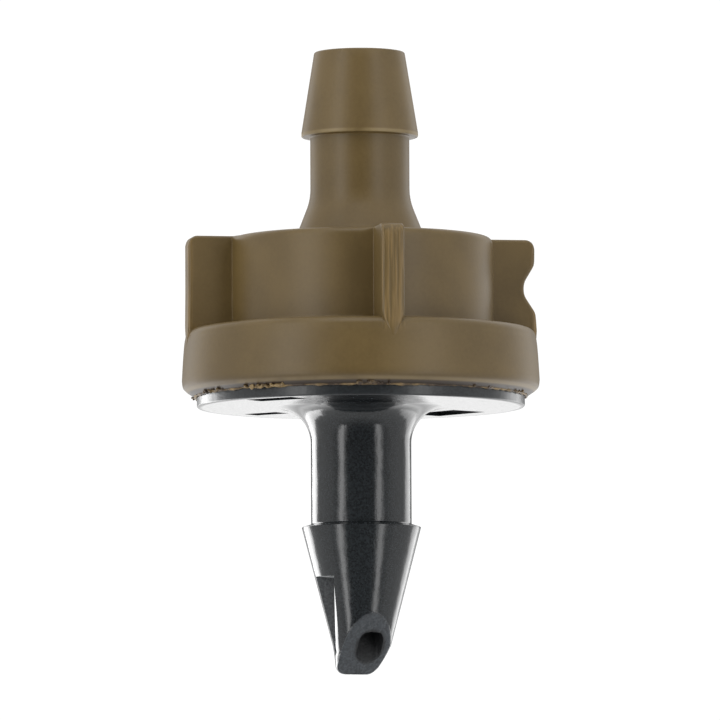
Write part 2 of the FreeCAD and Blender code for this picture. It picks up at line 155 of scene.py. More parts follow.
INLET_BORE_FLOOR_Z = -8.2
SPIGOT_RADIUS = 5.1
SPIGOT_TOP_Z = 3.9
POOL_RADIUS = 4.2
POOL_FLOOR_Z = 2.9
SEAT_RADIUS = 1.7

# The view: nearly level, a little from below, with the notched wing to the right.
VIEW_AZIMUTH = math.radians(-10.7)
VIEW_ELEVATION = math.radians(-4.7)
VIEW_ROLL = math.radians(-0.25)
VIEW_DISTANCE = 0.45
VIEW_WIDTH = 0.0332
VIEW_TARGET = (-0.032 * MM, 2.2 * MM)
SENSOR = 36.0


# ---- outlines


def spaced(start, end, step):
    """Points on the straight run from start up to end, end left out, no further apart than step."""
    length = math.dist(start, end)
    count = max(1, math.ceil(length / step))
    return [tuple(a + (b - a) * i / count for a, b in zip(start, end)) for i in range(count)]


# Longest step along a rounded corner, in millimetres.
ARC_STEP = 0.06


def corner_arc(before, corner, after, radius):
    """The arc that rounds a corner, as points from one straight run to the next."""
    here = Vector(corner)
    to_before = (Vector(before) - here).normalized()
    to_after = (Vector(after) - here).normalized()
    half = to_before.angle(to_after) / 2
    reach = radius / math.tan(half)
    centre = here + (to_before + to_after).normalized() * (radius / math.sin(half))
    start = here + to_before * reach - centre
    turn = math.pi - 2 * half
    bend = to_after.x * to_before.y - to_after.y * to_before.x
    sign = 1 if bend > 0 else -1
    count = max(4, math.ceil(radius * turn / ARC_STEP))
    turns = [Matrix.Rotation(sign * turn * i / count, 2) for i in range(count + 1)]
    return [tuple(centre + rotation @ start) for rotation in turns]


def softened(corners, step=0.3):
    """An outline through (radius, height, rounding) corners, with straight runs and arcs."""
    points = []
    last = len(corners) - 1
    for i, (across, up, rounding) in enumerate(corners):
        if rounding > 0 and 0 < i < last:
            arc = corner_arc(corners[i - 1][:2], (across, up), corners[i + 1][:2], rounding)
        else:
            arc = [(across, up)]
        if points:
            points += spaced(points[-1], arc[0], step)[1:]
        points += arc
    return points


def soft_clamp(value, softness):
    """value held between 0 and 1, with both corners rounded."""
    low = 0.5 * (value + math.sqrt(value * value + softness * softness))
    over = 1.0 - low
    return 1.0 - 0.5 * (over + math.sqrt(over * over + softness * softness))


def lerp(a, b, share):
    """The value a share of the way from a to b."""
    return a + (b - a) * share


# ---- meshes

# Points closer than this, in millimetres, are one.
MERGE = 0.0004
# Edges that turn by more than this, in degrees, stay crisp. The base has flatter ones to keep.
SHARP_ANGLE = 32.0
BASE_SHARP_ANGLE = 18.0


def new_piece(name, vertices, faces, edges=()):
    """A mesh object at the origin, with its vertices given in millimetres."""
    mesh = bpy.data.meshes.new(name)
    mesh.from_pydata([tuple(c * MM for c in v) for v in vertices], edges, faces)
    mesh.update()
    piece = bpy.data.objects.new(name, mesh)
    bpy.context.scene.collection.objects.link(piece)
    return piece


def polar(radius, heading):
    """The x and y of a place at a distance from the axis and a heading."""
    return radius * math.cos(heading), radius * math.sin(heading)


def ring_grid(columns, close_rows):
    """Quads between columns of equal length, closed round the axis."""
    rows = len(columns[0])
    count = len(columns)
    faces = []
    for i in range(count):
        here = i * rows
        there = (i + 1) % count * rows
        for j in range(rows if close_rows else rows - 1):
            k = (j + 1) % rows
            faces.append((here + j, there + j, there + k, here + k))
    return [point for column in columns for point in column], faces


def tidy_mesh(piece):
    """Merges doubles and turns every face outwards."""
    work = bmesh.new()
    work.from_mesh(piece.data)
    bmesh.ops.remove_doubles(work, verts=work.verts, dist=MERGE * MM)
    bmesh.ops.dissolve_degenerate(work, edges=work.edges, dist=MERGE * MM / 2)
    bmesh.ops.recalc_face_normals(work, faces=work.faces)
    work.to_mesh(piece.data)
    work.free()
    piece.data.update()


def shade_smooth(piece, sharp_angle=SHARP_ANGLE):
    """Smooth shading, with the edges sharper than an angle kept crisp."""
    piece.data.shade_smooth()
    limit = math.radians(sharp_angle)
    work = bmesh.new()
    work.from_mesh(piece.data)
    for edge in work.edges:
        edge.smooth = not edge.is_manifold or edge.calc_face_angle(0.0) < limit
    work.to_mesh(piece.data)
    work.free()


def cut_with(piece, tool):
    """Takes a closed tool out of a piece and removes the tool."""
    boolean = piece.modifiers.new("cut", "BOOLEAN")
    boolean.operation = "DIFFERENCE"
    boolean.solver = "EXACT"
    boolean.object = tool
    bake_modifiers(piece)
    bpy.data.objects.remove(tool)


# ---- node trees


def feed(tree, socket, value):
    """Links a socket to another one, or sets it to a plain value."""
    if isinstance(value, bpy.types.NodeSocket):
        tree.links.new(value, socket)
    else:
        socket.default_value = value


def add_node(tree, kind, inputs=None, **settings):
    """Adds a node, sets its properties, and sets or links its inputs."""
    node = tree.nodes.new(kind)
    for name, value in settings.items():
        setattr(node, name, value)
    for socket, value in (inputs or {}).items():
        feed(tree, node.inputs[socket], value)
    return node


def math_node(tree, operation, *values):
    """One arithmetic step in a tree, as its output socket."""
    return add_node(tree, "ShaderNodeMath", dict(enumerate(values)), operation=operation).outputs[0]


def product(tree, first, *others):
    """Values multiplied together, as an output socket."""
    for other in others:
        first = math_node(tree, "MULTIPLY", first, other)
    return first


def vector_node(tree, operation, *values):
    """One step of vector arithmetic in a tree, as its output socket."""
    node = add_node(tree, "ShaderNodeVectorMath", dict(enumerate(values)), operation=operation)
    return node.outputs["Value" if operation in ("LENGTH", "DOT_PRODUCT") else "Vector"]


def combined(tree, x=0.0, y=0.0, z=0.0):
    """A vector put together from its parts, as an output socket."""
    return add_node(tree, "ShaderNodeCombineXYZ", {"X": x, "Y": y, "Z": z}).outputs[0]


def moved(tree, geometry, **inputs):
    """Geometry with its points moved, as an output socket."""
    inputs["Geometry"] = geometry
    return add_node(tree, "GeometryNodeSetPosition", inputs).outputs["Geometry"]


def new_tree(name, sizes):
    """A Geometry Nodes tree with one named input for each size, its inputs, and its result's socket."""
    tree = bpy.data.node_groups.new(name, "GeometryNodeTree")
    for way in ("INPUT", "OUTPUT"):
        tree.interface.new_socket("Geometry", in_out=way, socket_type="NodeSocketGeometry")
    for label, kind in sizes.items():
        tree.interface.new_socket(label, in_out="INPUT", socket_type="NodeSocket" + kind)
    given = tree.nodes.new("NodeGroupInput").outputs
    result = tree.nodes.new("NodeGroupOutput").inputs["Geometry"]
    return tree, given, result


def finish_tree(tree, geometry, material, result):
    """Ends a tree in real geometry with its material."""
    real = add_node(tree, "GeometryNodeRealizeInstances", {"Geometry": geometry}).outputs["Geometry"]
    painted = add_node(tree, "GeometryNodeSetMaterial", {"Geometry": real, "Material": material})
    tree.links.new(painted.outputs["Geometry"], result)
    return tree


def bake_modifiers(piece):
    """Replaces a piece's mesh by what its modifiers make of it, and takes them off."""
    depsgraph = bpy.context.evaluated_depsgraph_get()
    result = bpy.data.meshes.new_from_object(piece.evaluated_get(depsgraph))
    piece.modifiers.clear()
    old = piece.data
    piece.data = result
    bpy.data.meshes.remove(old)


def grow(piece, tree, sizes):
    """Runs a tree on a piece with its inputs set, and leaves the result as a plain mesh."""
    modifier = piece.modifiers.new(tree.name, "NODES")
    modifier.node_group = tree
    for item in tree.interface.items_tree:
        if item.in_out == "INPUT" and item.name in sizes:
            modifier[item.identifier] = sizes[item.name]
    bake_modifiers(piece)
    return piece


def join_into(piece, *others):
    """Adds other pieces' meshes to a piece and removes them."""
    work = bmesh.new()
    work.from_mesh(piece.data)
    for other in others:
        work.from_mesh(other.data)
        bpy.data.objects.remove(other)
    work.to_mesh(piece.data)
    work.free()
    piece.data.update()


def turned_tree(material):
    """Turns an outline of edges in the XZ plane round the axis, with an uneven skin if wanted."""
    sizes = {"Columns": "Int", "Unevenness": "Float", "Lump size": "Float"}
    tree, given, result = new_tree("turned_round_axis", sizes)
    outline = given["Geometry"]
    size = add_node(tree, "GeometryNodeAttributeDomainSize", {"Geometry": outline}, component="MESH")
    rows = size.outputs["Point Count"]
    sides = math_node(tree, "ADD", given["Columns"], 1.0)
    grid = add_node(tree, "GeometryNodeMeshGrid", {"Vertices X": sides, "Vertices Y": rows})
    index = add_node(tree, "GeometryNodeInputIndex").outputs[0]
    row = math_node(tree, "MODULO", index, rows)
    column = math_node(tree, "DIVIDE", math_node(tree, "ADD", index, 0.5), rows)
    share = math_node(tree, "DIVIDE", math_node(tree, "FLOOR", column), given["Columns"])
    place = add_node(tree, "GeometryNodeInputPosition").outputs[0]
    sampled = add_node(
        tree,
        "GeometryNodeSampleIndex",
        {"Geometry": outline, "Value": place, "Index": row},
        data_type="FLOAT_VECTOR",
        domain="POINT",
    )
    turn = {"Vector": sampled.outputs["Value"], "Angle": product(tree, share, 2 * math.pi)}
    turned = add_node(tree, "ShaderNodeVectorRotate", turn, rotation_type="Z_AXIS").outputs[0]
    skin = moved(tree, grid.outputs["Mesh"], Position=turned)
    merge = {"Geometry": skin, "Distance": MERGE * MM}
    closed = add_node(tree, "GeometryNodeMergeByDistance", merge).outputs["Geometry"]
    per_lump = math_node(tree, "DIVIDE", 1.0, given["Lump size"])
    lumps = add_node(tree, "ShaderNodeTexNoise", {"Vector": place, "Scale": per_lump, "Detail": 2.0})
    centred = math_node(tree, "SUBTRACT", lumps.outputs["Fac"], 0.5)
    push = product(tree, centred, given["Unevenness"])
    normal = add_node(tree, "GeometryNodeInputNormal").outputs[0]
    shift = add_node(tree, "ShaderNodeVectorMath", {0: normal, "Scale": push}, operation="SCALE")
    return finish_tree(tree, moved(tree, closed, Offset=shift.outputs[0]), material, result)


def turned_piece(name, outline, closed, material, columns, unevenness=0.0, lump=1.0):
    """A piece turned from an outline in millimetres."""
    vertices = [(radius, 0.0, height) for radius, height in outline]
    count = len(vertices)
    edges = [(i, (i + 1) % count) for i in range(count if closed else count - 1)]
    if closed:
        vertices.append(vertices[0])
    piece = new_piece(name, vertices, [], edges)
    sizes = {"Columns": columns, "Unevenness": unevenness * MM, "Lump size": lump * MM}
    grow(piece, turned_tree(material), sizes)
    tidy_mesh(piece)
    return piece


def set_round_axis(tree, count, heading, reach, height, shape, **turn_and_scale):
    """Copies of a shape on points round the axis, as an output socket."""
    across = product(tree, math_node(tree, "COSINE", heading), reach)
    along = product(tree, math_node(tree, "SINE", heading), reach)
    points = add_node(tree, "GeometryNodePoints", {"Count": count}).outputs[0]
    placed = moved(tree, points, Position=combined(tree, across, along, height))
    inputs = {"Points": placed, "Instance": shape.outputs["Mesh"], **turn_and_scale}
    return add_node(tree, "GeometryNodeInstanceOnPoints", inputs).outputs["Instances"]


def blocks_tree(material):
    """Blocks set round the axis, each turned to face it."""
    sizes = {"Count": "Int"}
    sizes |= dict.fromkeys(("First heading", "Step", "Radius", "Height"), "Float")
    tree, given, result = new_tree("blocks_round_axis", sizes | {"Block size": "Vector"})
    index = add_node(tree, "GeometryNodeInputIndex").outputs[0]
    heading = math_node(tree, "MULTIPLY_ADD", index, given["Step"], given["First heading"])
    block = add_node(tree, "GeometryNodeMeshCube", {"Size": given["Block size"]})
    spot = (given["Count"], heading, given["Radius"], given["Height"])
    blocks = set_round_axis(tree, *spot, block, Rotation=combined(tree, z=heading))
    return finish_tree(tree, blocks, material, result)


def blocks_round_axis(name, count, first, step, radius, height, size, material):
    """Blocks of a size in millimetres (radial, tangential, upright) round the axis."""
    sizes = {
        "Count": count,
        "First heading": math.radians(first),
        "Step": math.radians(step),
        "Radius": radius * MM,
        "Height": height * MM,
        "Block size": [side * MM for side in size],
    }
    return grow(new_piece(name, [], []), blocks_tree(material), sizes)


def crumbs_tree(material):
    """Crumbs scattered along an arc round the axis, uneven in size and turn."""
    sizes = {"Count": "Int"}
    sizes |= dict.fromkeys(("Start", "Sweep", "Radius", "Height", "Scatter", "Crumb"), "Float")
    tree, given, result = new_tree("crumbs_on_arc", sizes | {"Seed": "Int"})

    def chance(low, high, offset):
        seed = math_node(tree, "ADD", given["Seed"], offset)
        node = add_node(tree, "FunctionNodeRandomValue", data_type="FLOAT")
        for name, value in (("Min", low), ("Max", high), ("Seed", seed)):
            feed(tree, next(s for s in node.inputs if s.name == name and s.enabled), value)
        return next(s for s in node.outputs if s.enabled)

    index = add_node(tree, "GeometryNodeInputIndex").outputs[0]
    place_on_arc = math_node(tree, "ADD", index, chance(0.0, 1.0, 0.0))
    share = math_node(tree, "DIVIDE", place_on_arc, given["Count"])
    heading = math_node(tree, "MULTIPLY_ADD", share, given["Sweep"], given["Start"])
    back = product(tree, given["Scatter"], -1.0)
    reach = math_node(tree, "ADD", given["Radius"], chance(back, given["Scatter"], 1.0))
    height = math_node(tree, "ADD", given["Height"], chance(back, given["Scatter"], 2.0))
    ball = {"Radius": given["Crumb"], "Subdivisions": 2}
    crumb = add_node(tree, "GeometryNodeMeshIcoSphere", ball)
    stretch = combined(tree, *(chance(0.35, 1.25, 3.0 + k) for k in range(3)))
    turn = combined(tree, x=chance(0.0, 6.28, 7.0), z=heading)
    spot = (given["Count"], heading, reach, height)
    crumbs = set_round_axis(tree, *spot, crumb, Rotation=turn, Scale=stretch)
    return finish_tree(tree, crumbs, material, result)


# ---- cap

# Steps in plan along half a wing's side and along an eighth of the drum.
SIDE_STEPS = 20
DRUM_STEPS = 24
# Rows of points down the cap: top, rim, wall, its foot, and the skirt.
TOP_ROWS = 9
RIM_ROWS = 7
WALL_ROWS = 44
BLEND_ROWS = 5
SKIRT_ROWS = 32


def plan_arc(centre, radius, start, end, count, outward=1):
    """Points on an arc seen from above, both ends included, as (x, y, outward normal)."""
    points = []
    for i in range(count):
        x, y = polar(1.0, lerp(start, end, i / (count - 1)))
        points.append((centre[0] + radius * x, centre[1] + radius * y, outward * x, outward * y))
    return points


def wing_plan_points():
    """Half a wing and an eighth of the drum seen from above, as (x, y, outward normal).

    They run anticlockwise from the middle of the wing's outer face to half way to the next wing.
    """
    edge_y = WING_HALF - WING_UPRIGHT_ROUND
    edge_x = math.sqrt((WING_RADIUS - WING_UPRIGHT_ROUND) ** 2 - edge_y**2)
    edge_angle = math.atan2(edge_y, edge_x)
    root_y = WING_HALF + WING_ROOT_ROUND
    root_x = math.sqrt((DRUM_RADIUS + WING_ROOT_ROUND) ** 2 - root_y**2)
    root_angle = math.atan2(root_y, root_x)
    side = [(lerp(edge_x, root_x, i / SIDE_STEPS), WING_HALF, 0.0, 1.0) for i in range(1, SIDE_STEPS)]
    return [
        *plan_arc((0, 0), WING_RADIUS, 0.0, edge_angle * 3 / 4, 4),
        *plan_arc((edge_x, edge_y), WING_UPRIGHT_ROUND, edge_angle, math.pi / 2, 7),
        *side,
        *plan_arc((root_x, root_y), WING_ROOT_ROUND, -math.pi / 2, root_angle - math.pi, 9, outward=-1),
        *plan_arc((0, 0), DRUM_RADIUS, root_angle, math.pi / 4, DRUM_STEPS + 1)[1:],
    ]


def eighth_turns():
    """The plan points of the whole drum, each with its wing's heading."""
    half = wing_plan_points()
    one_wing = [(x, -y, nx, -ny) for x, y, nx, ny in reversed(half[1:-1])] + half
    return [(point, wing * math.pi / 2) for wing in range(4) for point in one_wing]


def notch_depth_at(height):
    """How deep the finger notch is at a height."""
    run = NOTCH_HALF_MOUTH - NOTCH_HALF_FLOOR
    share = (NOTCH_HALF_MOUTH - abs(height - NOTCH_Z)) / run
    return NOTCH_DEPTH * max(0.0, soft_clamp(share, NOTCH_SOFTNESS))


def wall_point(plan, height, notched):
    """A plan point at a height: the wing's foot spreads, and the notched wing is cut back."""
    x, y = plan[0], plan[1]
    if x <= WING_ROOT_X:
        return x, y
    reach = WING_RADIUS - WING_ROOT_X
    spread = min(1.0, max(0.0, (WING_FOOT_Z - height) / (WING_FOOT_Z - SHOULDER_Z)))
    change = (NOTCHED_FOOT_FLARE if notched else WING_FOOT_FLARE) * spread
    if notched:
        change -= notch_depth_at(height)
    narrowing = soft_clamp((WING_POINT_Z - height) / WING_POINT_LENGTH, PLAN_SOFTNESS)
    narrowing *= soft_clamp((x - SHOULDER_FLAT) / (WING_RADIUS - SHOULDER_FLAT), PLAN_SOFTNESS)
    return WING_ROOT_X + (x - WING_ROOT_X) * (1 + change / reach), y * (1 - WING_NARROWING * narrowing)


def skirt_height(radius):
    """Height of the skirt's outer surface at a radius from the drum to the bulge."""
    if radius <= SHOULDER_FLAT:
        return SHOULDER_Z
    if radius <= SHOULDER_RADIUS:
        return WALL_TOP_Z + math.sqrt(max(0.0, SHOULDER_ROUND**2 - (radius - SHOULDER_FLAT) ** 2))
    share = min(1.0, (radius - SHOULDER_RADIUS) / (SKIRT_RADIUS - SHOULDER_RADIUS))
    return lerp(WALL_TOP_Z, BULGE_Z, share ** (1 / WALL_BULGE_POWER))


# Runs of the skirt's surface, in shares of the rows that they get.
FLAT_RUN = 0.22
ARC_RUN = 0.55


def skirt_run(radius):
    """Where a radius lies along the skirt's surface, from 0 at the drum to 1 at the bulge."""
    if radius <= SHOULDER_FLAT:
        return FLAT_RUN * (radius - DRUM_RADIUS) / (SHOULDER_FLAT - DRUM_RADIUS)
    if radius <= SHOULDER_RADIUS:
        angle = math.asin(min(1.0, (radius - SHOULDER_FLAT) / SHOULDER_ROUND))
        return lerp(FLAT_RUN, ARC_RUN, angle / (math.pi / 2))
    share = min(1.0, (radius - SHOULDER_RADIUS) / (SKIRT_RADIUS - SHOULDER_RADIUS))
    return lerp(ARC_RUN, 1.0, share ** (1 / WALL_BULGE_POWER))


def skirt_point(run):
    """(radius, height) on the skirt's surface at a place along it."""
    if run <= FLAT_RUN:
        return lerp(DRUM_RADIUS, SHOULDER_FLAT, run / FLAT_RUN), SHOULDER_Z
    if run <= ARC_RUN:
        angle = (run - FLAT_RUN) / (ARC_RUN - FLAT_RUN) * math.pi / 2
        out, up = SHOULDER_ROUND * math.sin(angle), SHOULDER_ROUND * math.cos(angle)
        return SHOULDER_FLAT + out, WALL_TOP_Z + up
    share = (run - ARC_RUN) / (1 - ARC_RUN)
    radius = lerp(SHOULDER_RADIUS, SKIRT_RADIUS, share**WALL_BULGE_POWER)
    return radius, lerp(WALL_TOP_Z, BULGE_Z, share)


def landing_height(plan):
    """Height where a plan point's wall comes down onto the skirt."""
    low, high = BULGE_Z, SHOULDER_Z
    for _ in range(30):
        middle = (low + high) / 2
        radius = math.hypot(*wall_point(plan, middle, False))
        if skirt_height(min(radius, SKIRT_RADIUS)) > middle:
            low = middle
        else:
            high = middle
    return (low + high) / 2


def corner_drop(reach):
    """How far the wing's top has fallen at a distance along the wing, where its outer corner is rounded."""
    into = reach - (WING_RADIUS - WING_CORNER_ROUND)
    if into <= 0:
        return 0.0
    return WING_CORNER_ROUND - math.sqrt(max(0.0, WING_CORNER_ROUND**2 - into**2))


def outer_column(plan, notched):
    """One plan point's path from the foot of the neck, over the rim, down to the skirt's bulge."""
    x, y, normal_x, normal_y = plan
    past_root = min(1.0, max(0.0, (abs(y) - WING_HALF - WING_ROOT_ROUND) / ROOT_FADE))
    inset = lerp(WING_SIDE_ROUND, DRUM_RIM, past_root)
    heading = math.atan2(y, x)
    inner_x = x - normal_x * inset
    inner_y = y - normal_y * inset
    inner_radius = math.hypot(inner_x, inner_y)
    inner_heading = math.atan2(inner_y, inner_x)
    points = []
    for i in range(1, TOP_ROWS):
        share = 1 - (1 - i / TOP_ROWS) ** 2
        radius = lerp(FLARE_RADIUS + FLARE_LAND, inner_radius, share)
        along, aside = polar(radius, lerp(heading, inner_heading, share))
        points.append((along, aside, DRUM_TOP_Z - corner_drop(along)))
    for i in range(RIM_ROWS):
        angle = math.pi / 2 * (1 - i / RIM_ROWS)
        back = inset * (1 - math.cos(angle))
        up = DRUM_TOP_Z - corner_drop(x - normal_x * back) - inset * (1 - math.sin(angle))
        wall_x, wall_y = wall_point(plan, up, notched)
        points.append((wall_x - normal_x * back, wall_y - normal_y * back, up))
    land_z = landing_height(plan)
    land_x, land_y = wall_point(plan, land_z, False)
    outwards = (math.hypot(land_x, land_y) - BLEND_FADE_RADIUS) / BLEND_FADE
    blend = lerp(0.9 * WING_ROOT_ROUND, ROOT_BLEND, past_root)
    blend *= lerp(1.0, BLEND_LEFT, soft_clamp(outwards, PLAN_SOFTNESS))
    top_z = DRUM_TOP_Z - corner_drop(x) - inset
    foot_z = land_z + blend
    for i in range(WALL_ROWS):
        height = lerp(top_z, foot_z, i / WALL_ROWS)
        points.append((*wall_point(plan, height, notched), height))
    end_x = land_x + normal_x * blend
    end_y = land_y + normal_y * blend
    end_radius = min(math.hypot(end_x, end_y), SKIRT_RADIUS)
    end_z = skirt_height(end_radius)
    foot_x, foot_y = wall_point(plan, foot_z, notched)
    for i in range(BLEND_ROWS):
        angle = math.pi / 2 * i / BLEND_ROWS
        out = 1 - math.cos(angle)
        up = end_z + (foot_z - end_z) * (1 - math.sin(angle))
        points.append((lerp(foot_x, end_x, out), lerp(foot_y, end_y, out), up))
    start_run = skirt_run(end_radius)
    end_heading = math.atan2(end_y, end_x)
    for i in range(SKIRT_ROWS):
        share = i / SKIRT_ROWS
        radius, up = skirt_point(lerp(start_run, 1.0, share))
        points.append((*polar(radius, lerp(end_heading, heading, share)), up))
    return points


def cap_inner_outline():
    """The rest of the cap's outline: lip, seam, chamber, weir, bore, outlet barb and neck."""
    return softened(
        (
            (SKIRT_RADIUS, BULGE_Z, 0),
            (SKIRT_RADIUS - 0.04, LIP_Z + 0.38, 0.28),
            (SKIRT_RADIUS - 0.25, LIP_Z + 0.2, 0.05),
            (SEAM_RADIUS + 0.1, LIP_Z, 0.05),
            (SEAM_RADIUS, LIP_Z + 0.06, 0.02),
            (SEAM_RADIUS, FLANGE_TOP_Z, 0),
            (CHAMBER_RADIUS, FLANGE_TOP_Z, 0.1),
            (CHAMBER_RADIUS, CEILING_Z, 0.15),
            (WEIR_RADIUS, CEILING_Z, 0.1),
            (WEIR_RADIUS, WEIR_Z, 0.05),
            (BORE_RADIUS, WEIR_Z, 0.05),
            (BORE_RADIUS, OUTLET_END_Z - 0.12, 0),
            (BORE_RADIUS + 0.1, OUTLET_END_Z, 0.03),
            (OUTLET_END_RADIUS, OUTLET_END_Z, 0.1),
            (OUTLET_BARB_RADIUS, OUTLET_BARB_Z + OUTLET_BARB_LAND, 0.12),
            (OUTLET_BARB_RADIUS, OUTLET_BARB_Z, 0.05),
            (NECK_RADIUS, OUTLET_BARB_Z, 0.08),
            (NECK_RADIUS, FLARE_TOP_Z, 2.7),
            (FLARE_RADIUS, DRUM_TOP_Z, 0.12),
            (FLARE_RADIUS + FLARE_LAND, DRUM_TOP_Z, 0),
        ),
        step=0.45,
    )


GUIDE_COUNT = 6
GUIDE_THICKNESS = 0.8
GUIDE_REACH = 0.75
GUIDE_STAND = 0.2
GUIDE_OVERLAP = 0.1
METERING_WIDTH = 0.5
METERING_DEPTH = 0.3
METERING_OVERRUN = 0.5
METERING_BELOW = 0.2


def make_guides(material):
    """Ribs down the chamber's wall that keep the silicone disc central."""
    overlap = GUIDE_OVERLAP
    foot_z = SPIGOT_TOP_Z + GUIDE_STAND
    height = CEILING_Z + overlap - foot_z
    return blocks_round_axis(
        "guides",
        GUIDE_COUNT,
        0.0,
        360.0 / GUIDE_COUNT,
        CHAMBER_RADIUS + overlap - (GUIDE_REACH + overlap) / 2,
        foot_z + height / 2,
        (GUIDE_REACH + overlap, GUIDE_THICKNESS, height),
        material,
    )


def make_metering_tool():
    """The groove across the weir that the silicone disc throttles."""
    length = WEIR_RADIUS + METERING_OVERRUN
    return blocks_round_axis(
        "metering_tool",
        1,
        0.0,
        0.0,
        length / 2,
        WEIR_Z + METERING_DEPTH / 2 - METERING_BELOW,
        (length, METERING_WIDTH, METERING_DEPTH + 2 * METERING_BELOW),
        None,
    )


def make_cap(material):
    """The whole cap as one closed skin, swept round the axis with the wings growing out of the drum."""
    inner = cap_inner_outline()
    columns = []
    for plan, wing_heading in eighth_turns():
        column = outer_column(plan, notched=wing_heading == 0.0)
        heading = math.atan2(plan[1], plan[0])
        column += [(*polar(radius, heading), height) for radius, height in inner]
        turn = Matrix.Rotation(wing_heading, 3, "Z")
        columns.append([tuple(turn @ Vector(point)) for point in column])
    cap = new_piece("cap_moulding", *ring_grid(columns, close_rows=True))
    tidy_mesh(cap)
    cut_with(cap, make_metering_tool())
    join_into(cap, make_guides(material))
    tidy_mesh(cap)
    shade_smooth(cap)
    return cap


# ---- base


def base_outline():
    """Half of the base's section, from the tip's middle, round the outside, to the bore's floor."""
    return softened(
        (
            (0.0, INLET_TIP_Z, 0),
            (INLET_TIP_RADIUS, INLET_TIP_Z, 0.5),
            (INLET_BARB_RADIUS - 0.03, INLET_BARB_Z - 0.12, 0.1),
            (INLET_BARB_RADIUS, INLET_BARB_Z, 0.03),
            (SHAFT_RADIUS, SHAFT_FOOT_Z, 0.06),
            (SHAFT_RADIUS, 0.0, SHAFT_ROOT_ROUND),
            (FLANGE_RADIUS, 0.0, 0.1),
            (FLANGE_RADIUS, FLANGE_TOP_Z, 0.08),
            (SPIGOT_RADIUS, FLANGE_TOP_Z, 0.05),
            (SPIGOT_RADIUS, SPIGOT_TOP_Z, 0.12),
            (POOL_RADIUS, SPIGOT_TOP_Z, 0.12),
            (POOL_RADIUS, POOL_FLOOR_Z, 0.15),
            (SEAT_RADIUS + 0.3, POOL_FLOOR_Z, 0.15),
            (SEAT_RADIUS, SEAT_Z, 0.1),
            (BORE_RADIUS, SEAT_Z, 0.1),
            (BORE_RADIUS, INLET_BORE_FLOOR_Z, 0.1),
            (0.0, INLET_BORE_FLOOR_Z, 0),
        ),
        step=0.12,
    )


def cone_radius(height):
    """Radius of the inlet cone at a height."""
    share = (INLET_BARB_Z - height) / (INLET_BARB_Z - INLET_TIP_Z)
    return lerp(INLET_BARB_RADIUS, INLET_TIP_RADIUS, share)


def tip_section(radius, height, heading):
    """A point of the tip's section at a height: a circle with the oblique cut taken off one side.

    The torn cut is uneven, and towards its end the tip narrows, spreads and leans to one side.
    """
    reach = cone_radius(CUT_TOP_Z) - (CUT_TOP_Z - height) / CUT_SLOPE
    torn = noise.noise(Vector((*polar(radius, heading), height)) * CUT_TEARS_PER_MM)
    slack = max(-radius * CUT_LIMIT, reach + CUT_TEAR * torn)
    # The lengths run from the middle of what the cut leaves: to the circle, and to the flat.
    middle = 0.5 * (min(radius, slack) - radius) if radius > 0.01 else 0.0
    along, across = polar(1.0, heading - CUT_HEADING)
    root = radius * radius - (middle * across) ** 2
    round_length = -middle * along + math.sqrt(max(root, 0.0))
    flat_length = (slack - middle) / along if along > 1e-3 else 1e3
    gap = flat_length - round_length
    length = 0.5 * (flat_length + round_length - math.hypot(gap, CUT_EDGE_ROUND))
    if gap > 1.0:
        length = min(length, round_length)
    u = middle + length * along
    v = length * across
    share = max(0.0, (TIP_LEAN_Z - height) / (TIP_LEAN_Z - INLET_TIP_Z))
    x = u * math.cos(CUT_HEADING) - v * math.sin(CUT_HEADING)
    x = x * (1 - (TIP_BITE if x > 0 else -TIP_SPREAD) * share) - TIP_LEAN * share**2
    return x, u * math.sin(CUT_HEADING) + v * math.cos(CUT_HEADING), height


BASE_COLUMNS = 288
# Pads in the flange's underside: heading in degrees, radius, radial and tangential size.
MARKS = ((31.0, 5.3, 2.0, 3.2), (131.0, 5.6, 1.9, 1.0), (223.0, 6.5, 1.2, 2.6))
MARK_DEPTH = 0.16


def make_step_tool():
    """The block that cores one side of the cone away.

    It has a falling ledge, and a wall whose outer part flares from a line that nears the floor lower down.
    """
    far = INLET_BARB_RADIUS + 1.0
    levels = (
        (STEP_Z, STEP_KNEE_TOP, 1.0),
        (STEP_KNEE_END_Z, STEP_KNEE_END, 0.0),
        (INLET_TIP_Z - 1.0, STEP_KNEE_END, 0.0),
    )
    vertices = []
    for level, (knee_x, knee_y), slant in levels:
        plan = (
            (STEP_WALL_X, STEP_FLOOR_Y),
            (knee_x, knee_y),
            (knee_x + (far + knee_y) * STEP_FLARE, -far),
            (-far, -far),
            (-far, STEP_FLOOR_Y),
        )
        vertices += [(x, y, level + rise * slant) for (x, y), rise in zip(plan, LEDGE_RISES)]
    faces = [(0, 1, 3), (1, 2, 3), (0, 3, 4), (10, 13, 11), (11, 13, 12), (10, 14, 13)]
    for first in (0, 5):
        for i in range(5):
            here, there = first + i, first + (i + 1) % 5
            faces.append((here, here + 5, there + 5, there))
    tool = new_piece("step_tool", vertices, faces)
    tidy_mesh(tool)
    return tool


def cut_directions():
    """Level unit vectors out of the oblique cut, and to the left of that."""
    return Vector((*polar(1.0, CUT_HEADING), 0.0)), Vector((*polar(1.0, CUT_HEADING + math.pi / 2), 0.0))


def port_axis():
    """The middle of the port's mouth on the cut face, and the unit way inwards, in millimetres."""
    out, aside = cut_directions()
    height = CUT_TOP_Z - (cone_radius(CUT_TOP_Z) - PORT_OUT) * CUT_SLOPE
    mouth = out * PORT_OUT + aside * PORT_ASIDE + Vector((0.0, 0.0, height))
    return mouth, Vector((0.0, 0.0, math.cos(PORT_TILT))) - out * math.sin(PORT_TILT)


